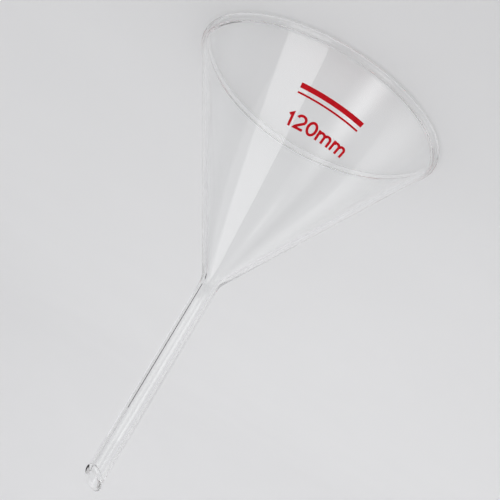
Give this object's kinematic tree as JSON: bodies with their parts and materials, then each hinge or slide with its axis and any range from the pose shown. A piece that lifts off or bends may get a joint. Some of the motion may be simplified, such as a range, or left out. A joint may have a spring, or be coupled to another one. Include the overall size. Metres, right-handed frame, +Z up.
{
  "type": "conical filter funnel",
  "caption": "Clear glass conical funnel with a rolled rim, a plain cone and a straight stem whose end is cut at a slant; pours or filters liquid into a narrow neck.",
  "frame": {"origin": "centre of the mouth, on the surface that the funnel stands on, mouth down", "axes": "+Z up the axis from the mouth to the stem's tip, -Y the front"},
  "size_m": [0.12, 0.12, 0.1962],
  "materials": {
    "glass": "clear, polished",
    "print": "fired-on red ceramic ink"
  },
  "bodies": {
    "root": {"funnel": "glass"}
  },
  "joints": []
}
